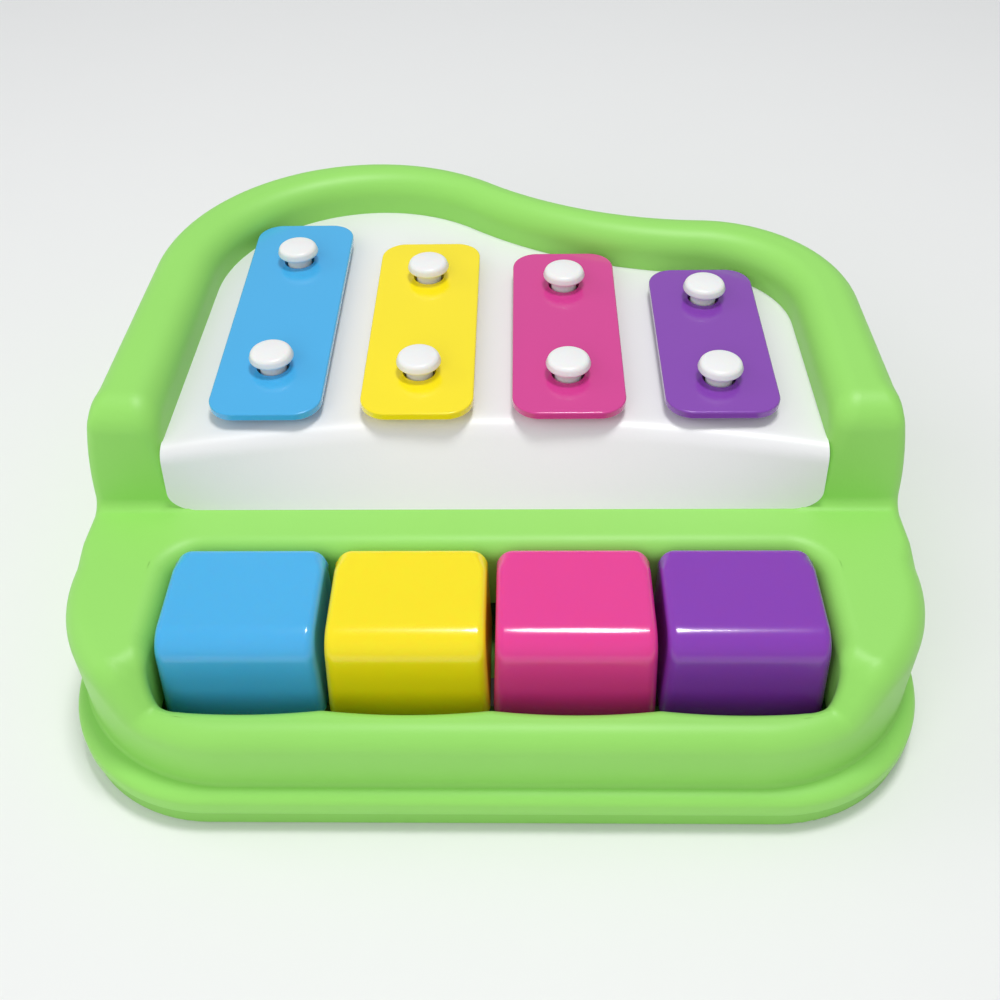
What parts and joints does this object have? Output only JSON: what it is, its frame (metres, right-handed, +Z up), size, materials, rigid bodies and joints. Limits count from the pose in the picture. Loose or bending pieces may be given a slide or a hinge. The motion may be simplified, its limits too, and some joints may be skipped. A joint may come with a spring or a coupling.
{
  "type": "toy piano",
  "caption": "Child's grand-piano-shaped toy: big glossy keys swing on a rod and throw small hammers up against coloured metal chime bars pinned to a white deck.",
  "frame": {"origin": "middle of the case's bounding box, on the surface that the toy stands on", "axes": "+Z up, +X to the player's right, +Y away from the player towards the tail"},
  "size_m": [0.2408, 0.2354, 0.077],
  "materials": {
    "base_green": "satin moulded",
    "shell_green": "satin moulded",
    "deck_white": "satin moulded",
    "steel": "bright plated",
    "felt": "pressed felt",
    "pin_white": "polished moulded",
    "cushion": "soft foam",
    "lever": "as moulded",
    "hammer": "as moulded",
    "bar_blue": "gloss enamel",
    "key_blue": "high gloss moulded",
    "bar_yellow": "gloss enamel",
    "key_yellow": "high gloss moulded",
    "bar_pink": "gloss enamel",
    "key_pink": "high gloss moulded",
    "bar_purple": "gloss enamel",
    "key_purple": "high gloss moulded"
  },
  "bodies": {
    "case": {"base_tray": "base_green", "top_shell": "shell_green", "rim_left": "shell_green", "rim_right": "shell_green", "rim_tail": "shell_green", "rim_back": "shell_green", "rim_waist": "shell_green", "deck_panel": "deck_white", "pivot_rod": "steel", "rod_clips": "steel", "key_stop_strip": "felt", "hammer_rest_strip": "felt", "case_screws": "steel", "deck_screws": "steel", "bar_blue": "bar_blue", "pin_blue_front": "pin_white", "pin_blue_rear": "pin_white", "cushions_blue": "cushion", "key_spring_blue": "steel", "bar_yellow": "bar_yellow", "pin_yellow_front": "pin_white", "pin_yellow_rear": "pin_white", "cushions_yellow": "cushion", "key_spring_yellow": "steel", "bar_pink": "bar_pink", "pin_pink_front": "pin_white", "pin_pink_rear": "pin_white", "cushions_pink": "cushion", "key_spring_pink": "steel", "bar_purple": "bar_purple", "pin_purple_front": "pin_white", "pin_purple_rear": "pin_white", "cushions_purple": "cushion", "key_spring_purple": "steel"},
    "key_blue": {"key_cap_blue": "key_blue", "key_lever_blue": "lever", "hammer_head_blue": "hammer", "key_screws_blue": "steel"},
    "key_yellow": {"key_cap_yellow": "key_yellow", "key_lever_yellow": "lever", "hammer_head_yellow": "hammer", "key_screws_yellow": "steel"},
    "key_pink": {"key_cap_pink": "key_pink", "key_lever_pink": "lever", "hammer_head_pink": "hammer", "key_screws_pink": "steel"},
    "key_purple": {"key_cap_purple": "key_purple", "key_lever_purple": "lever", "hammer_head_purple": "hammer", "key_screws_purple": "steel"}
  },
  "joints": [
    {"name": "key_blue_press", "type": "hinge", "parent": "case", "child": "key_blue", "pos_m": [-0.06675, -0.0297, 0.024], "axis": [1, 0, 0], "range_deg": [0, 7.5], "stiffness_Nm_per_rad": 0.15, "springref_deg": -8.59, "deforming": ["key_spring_blue"]},
    {"name": "key_yellow_press", "type": "hinge", "parent": "case", "child": "key_yellow", "pos_m": [-0.02225, -0.0297, 0.024], "axis": [1, 0, 0], "range_deg": [0, 7.5], "stiffness_Nm_per_rad": 0.15, "springref_deg": -8.59, "deforming": ["key_spring_yellow"]},
    {"name": "key_pink_press", "type": "hinge", "parent": "case", "child": "key_pink", "pos_m": [0.02225, -0.0297, 0.024], "axis": [1, 0, 0], "range_deg": [0, 7.5], "stiffness_Nm_per_rad": 0.15, "springref_deg": -8.59, "deforming": ["key_spring_pink"]},
    {"name": "key_purple_press", "type": "hinge", "parent": "case", "child": "key_purple", "pos_m": [0.06675, -0.0297, 0.024], "axis": [1, 0, 0], "range_deg": [0, 7.5], "stiffness_Nm_per_rad": 0.15, "springref_deg": -8.59, "deforming": ["key_spring_purple"]}
  ]
}
